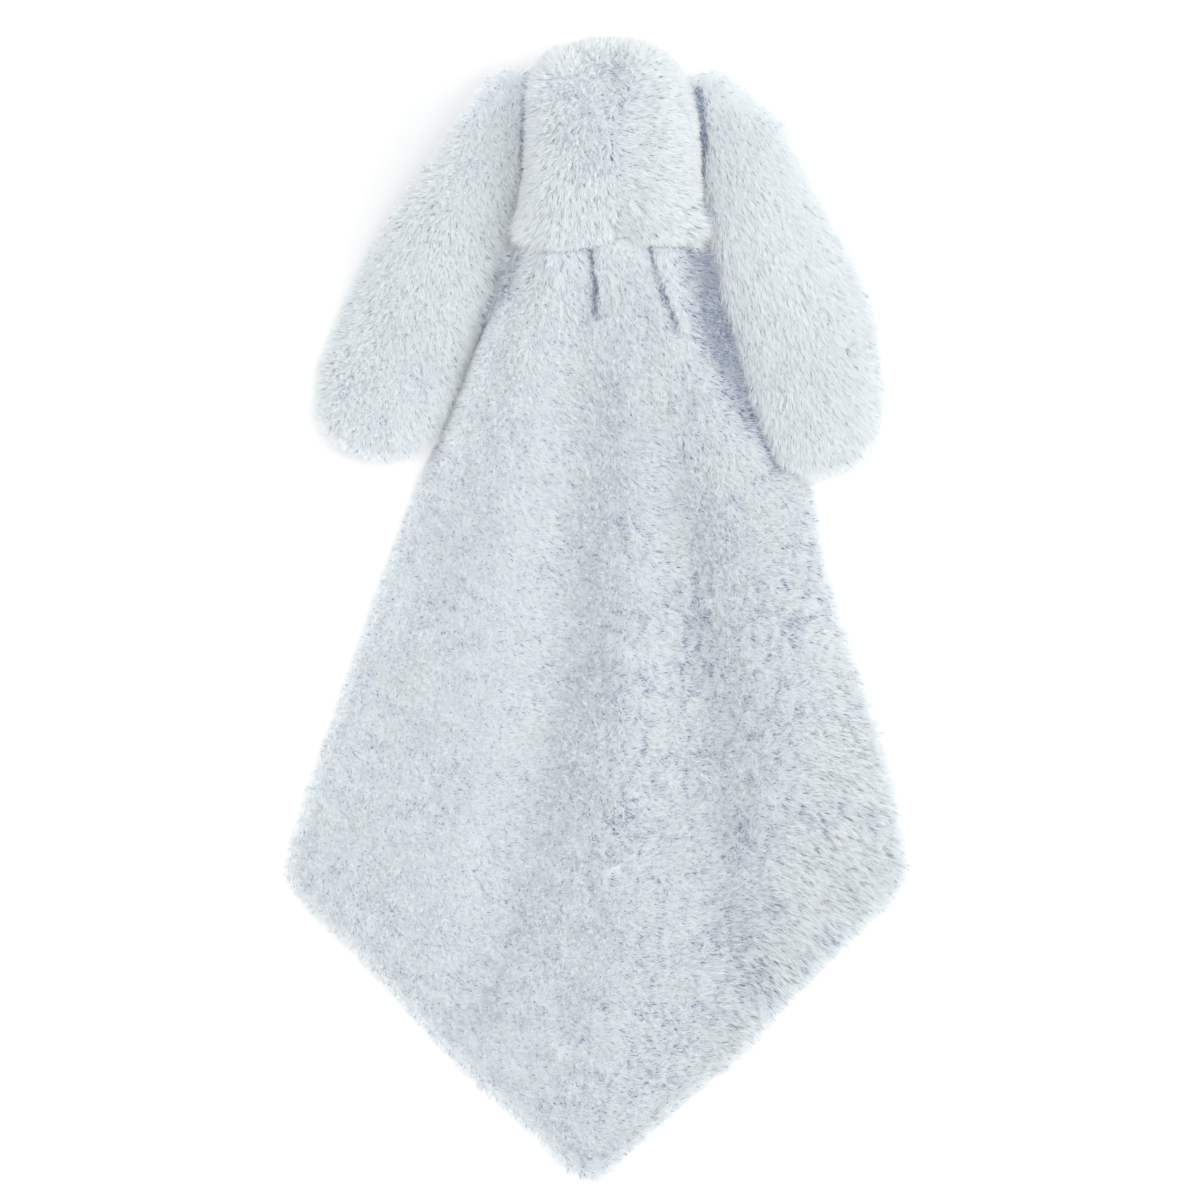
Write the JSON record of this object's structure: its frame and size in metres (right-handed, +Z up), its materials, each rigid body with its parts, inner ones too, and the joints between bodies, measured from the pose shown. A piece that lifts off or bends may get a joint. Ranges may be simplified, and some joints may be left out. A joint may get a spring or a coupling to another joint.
{
  "type": "plush bunny comforter",
  "caption": "Soft plush bunny head with two lop ears on a small kite-shaped comfort blanket, lying flat on its front with its back up.",
  "frame": {"origin": "on the underside of the blanket's lining, on the blanket's middle line, 127 mm below the neck seam", "axes": "+Z up from the surface it lies on, +Y from the blanket towards the crown of the head, +X to the right seen from above"},
  "size_m": [0.2176, 0.4011, 0.0595],
  "materials": {
    "plush": "matte",
    "satin": "satin",
    "fill": "matte",
    "dark_thread": "satin",
    "nose_thread": "satin"
  },
  "bodies": {
    "head": {"head_gusset": "plush", "head_side_left": "plush", "head_side_right": "plush", "head_chin": "plush", "neck_panel": "satin", "head_stuffing": "fill", "eye_left": "dark_thread", "eye_right": "dark_thread", "nose": "nose_thread", "mouth": "dark_thread"},
    "ear_left": {"ear_left_plush": "plush", "ear_left_lining": "satin"},
    "ear_right": {"ear_right_plush": "plush", "ear_right_lining": "satin"},
    "blanket": {"blanket_plush": "plush", "blanket_lining": "satin"}
  },
  "joints": [
    {"name": "ear_left_lift", "type": "hinge", "parent": "head", "child": "ear_left", "pos_m": [-0.02891, 0.182, 0.0345], "axis": [-0.944, 0.33, 0], "range_deg": [0, 110]},
    {"name": "ear_right_lift", "type": "hinge", "parent": "head", "child": "ear_right", "pos_m": [0.04091, 0.182, 0.0345], "axis": [-0.9587, -0.2843, 0], "range_deg": [0, 110]},
    {"name": "neck_fold", "type": "hinge", "parent": "head", "child": "blanket", "pos_m": [0.006, 0.12685, 0.04315], "axis": [-1, 0, 0], "range_deg": [0, 100]}
  ]
}
